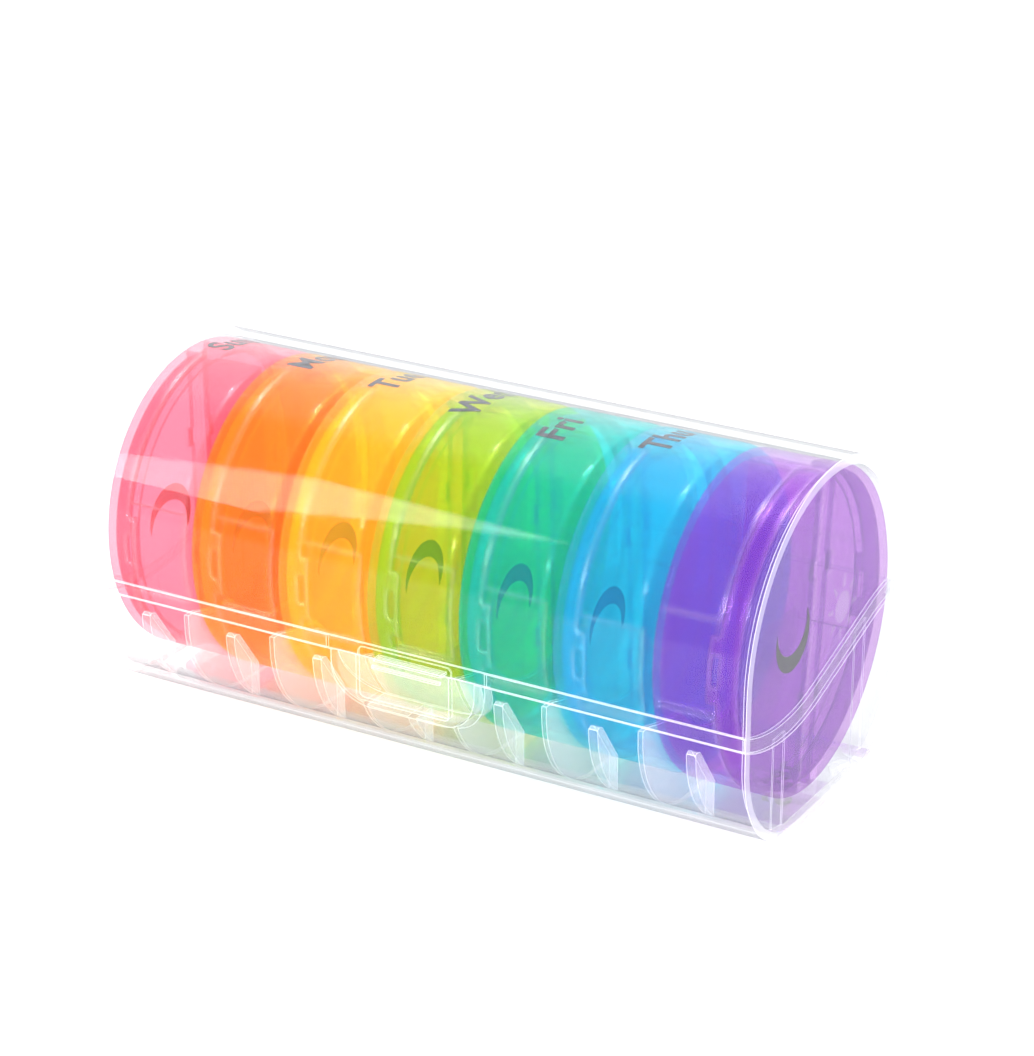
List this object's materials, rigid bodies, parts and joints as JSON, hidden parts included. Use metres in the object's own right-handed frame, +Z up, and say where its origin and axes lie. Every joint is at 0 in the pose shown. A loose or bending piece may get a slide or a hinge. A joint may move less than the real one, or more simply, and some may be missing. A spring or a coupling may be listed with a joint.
{
  "type": "travel pill organizer",
  "caption": "Clear hinged case with a half-round top holding a row of round coloured pill pods, each split into a day and a night compartment with flip lids.",
  "frame": {"origin": "middle of the flat underside", "axes": "+X along the case towards the purple pod, -Y to the latch at the front, +Z up"},
  "size_m": [0.1566, 0.0784, 0.0751],
  "materials": {
    "clear_case": "clear, polished",
    "pink_plastic": "translucent pink, polished",
    "orange_plastic": "translucent orange, polished",
    "amber_plastic": "translucent amber, polished",
    "lime_plastic": "translucent lime, polished",
    "teal_plastic": "translucent teal, polished",
    "blue_plastic": "translucent blue, polished",
    "purple_plastic": "translucent purple, polished"
  },
  "bodies": {
    "case_base": {"case_base": "clear_case"},
    "case_lid": {"case_lid": "clear_case"},
    "pod_sun": {"pod_sun_cup": "pink_plastic"},
    "pod_sun_am_lid": {"pod_sun_am_lid": "pink_plastic"},
    "pod_sun_pm_lid": {"pod_sun_pm_lid": "pink_plastic"},
    "pod_mon": {"pod_mon_cup": "orange_plastic"},
    "pod_mon_am_lid": {"pod_mon_am_lid": "orange_plastic"},
    "pod_mon_pm_lid": {"pod_mon_pm_lid": "orange_plastic"},
    "pod_tue": {"pod_tue_cup": "amber_plastic"},
    "pod_tue_am_lid": {"pod_tue_am_lid": "amber_plastic"},
    "pod_tue_pm_lid": {"pod_tue_pm_lid": "amber_plastic"},
    "pod_wed": {"pod_wed_cup": "lime_plastic"},
    "pod_wed_am_lid": {"pod_wed_am_lid": "lime_plastic"},
    "pod_wed_pm_lid": {"pod_wed_pm_lid": "lime_plastic"},
    "pod_fri": {"pod_fri_cup": "teal_plastic"},
    "pod_fri_am_lid": {"pod_fri_am_lid": "teal_plastic"},
    "pod_fri_pm_lid": {"pod_fri_pm_lid": "teal_plastic"},
    "pod_thu": {"pod_thu_cup": "blue_plastic"},
    "pod_thu_am_lid": {"pod_thu_am_lid": "blue_plastic"},
    "pod_thu_pm_lid": {"pod_thu_pm_lid": "blue_plastic"},
    "pod_sat": {"pod_sat_cup": "purple_plastic"},
    "pod_sat_am_lid": {"pod_sat_am_lid": "purple_plastic"},
    "pod_sat_pm_lid": {"pod_sat_pm_lid": "purple_plastic"}
  },
  "joints": [
    {"name": "case_lid_hinge", "type": "hinge", "parent": "case_base", "child": "case_lid", "pos_m": [0, 0.0393, 0.0381], "axis": [-1, 0, 0], "range_deg": [0, 175]},
    {"name": "pod_sun_spin", "type": "hinge", "parent": "case_base", "child": "pod_sun", "pos_m": [-0.06595, 0, 0.0381], "axis": [1, 0, 0], "continuous": true},
    {"name": "pod_sun_am_flip", "type": "hinge", "parent": "pod_sun", "child": "pod_sun_am_lid", "pos_m": [-0.07505, 0.0036, 0.03816], "axis": [0, -0.0175, 0.9998], "range_deg": [0, 1]},
    {"name": "pod_sun_pm_flip", "type": "hinge", "parent": "pod_sun", "child": "pod_sun_pm_lid", "pos_m": [-0.07505, -0.0036, 0.03804], "axis": [0, 0.0175, -0.9998], "range_deg": [0, 1]},
    {"name": "pod_mon_spin", "type": "hinge", "parent": "case_base", "child": "pod_mon", "pos_m": [-0.04404, 0, 0.0381], "axis": [1, 0, 0], "continuous": true},
    {"name": "pod_mon_am_flip", "type": "hinge", "parent": "pod_mon", "child": "pod_mon_am_lid", "pos_m": [-0.05314, 0.0036, 0.03804], "axis": [0, 0.0175, 0.9998], "range_deg": [0, 1]},
    {"name": "pod_mon_pm_flip", "type": "hinge", "parent": "pod_mon", "child": "pod_mon_pm_lid", "pos_m": [-0.05314, -0.0036, 0.03816], "axis": [0, -0.0175, -0.9998], "range_deg": [0, 1]},
    {"name": "pod_tue_spin", "type": "hinge", "parent": "case_base", "child": "pod_tue", "pos_m": [-0.02212, 0, 0.0381], "axis": [1, 0, 0], "continuous": true},
    {"name": "pod_tue_am_flip", "type": "hinge", "parent": "pod_tue", "child": "pod_tue_am_lid", "pos_m": [-0.03122, 0.0036, 0.03813], "axis": [0, -0.0087, 1], "range_deg": [0, 1]},
    {"name": "pod_tue_pm_flip", "type": "hinge", "parent": "pod_tue", "child": "pod_tue_pm_lid", "pos_m": [-0.03122, -0.0036, 0.03807], "axis": [0, 0.0087, -1], "range_deg": [0, 1]},
    {"name": "pod_wed_spin", "type": "hinge", "parent": "case_base", "child": "pod_wed", "pos_m": [-0.00021, 0, 0.0381], "axis": [1, 0, 0], "continuous": true},
    {"name": "pod_wed_am_flip", "type": "hinge", "parent": "pod_wed", "child": "pod_wed_am_lid", "pos_m": [-0.00931, 0.0036, 0.03797], "axis": [0, 0.0349, 0.9994], "range_deg": [0, 1]},
    {"name": "pod_wed_pm_flip", "type": "hinge", "parent": "pod_wed", "child": "pod_wed_pm_lid", "pos_m": [-0.00931, -0.0036, 0.03823], "axis": [0, -0.0349, -0.9994], "range_deg": [0, 1]},
    {"name": "pod_fri_spin", "type": "hinge", "parent": "case_base", "child": "pod_fri", "pos_m": [0.02171, 0, 0.0381], "axis": [1, 0, 0], "continuous": true},
    {"name": "pod_fri_am_flip", "type": "hinge", "parent": "pod_fri", "child": "pod_fri_am_lid", "pos_m": [0.01261, 0.0036, 0.03819], "axis": [0, -0.0262, 0.9997], "range_deg": [0, 1]},
    {"name": "pod_fri_pm_flip", "type": "hinge", "parent": "pod_fri", "child": "pod_fri_pm_lid", "pos_m": [0.01261, -0.0036, 0.03801], "axis": [0, 0.0262, -0.9997], "range_deg": [0, 1]},
    {"name": "pod_thu_spin", "type": "hinge", "parent": "case_base", "child": "pod_thu", "pos_m": [0.04362, 0, 0.0381], "axis": [1, 0, 0], "continuous": true},
    {"name": "pod_thu_am_flip", "type": "hinge", "parent": "pod_thu", "child": "pod_thu_am_lid", "pos_m": [0.03452, 0.0036, 0.03829], "axis": [0, -0.0523, 0.9986], "range_deg": [0, 1]},
    {"name": "pod_thu_pm_flip", "type": "hinge", "parent": "pod_thu", "child": "pod_thu_pm_lid", "pos_m": [0.03452, -0.0036, 0.03791], "axis": [0, 0.0523, -0.9986], "range_deg": [0, 1]},
    {"name": "pod_sat_spin", "type": "hinge", "parent": "case_base", "child": "pod_sat", "pos_m": [0.06555, 0, 0.0381], "axis": [1, 0, 0], "continuous": true},
    {"name": "pod_sat_am_flip", "type": "hinge", "parent": "pod_sat", "child": "pod_sat_am_lid", "pos_m": [0.07465, 0.00358, 0.03772], "axis": [0, -0.1045, -0.9945], "range_deg": [0, 1]},
    {"name": "pod_sat_pm_flip", "type": "hinge", "parent": "pod_sat", "child": "pod_sat_pm_lid", "pos_m": [0.07465, -0.00358, 0.03848], "axis": [0, 0.1045, 0.9945], "range_deg": [0, 1]}
  ]
}
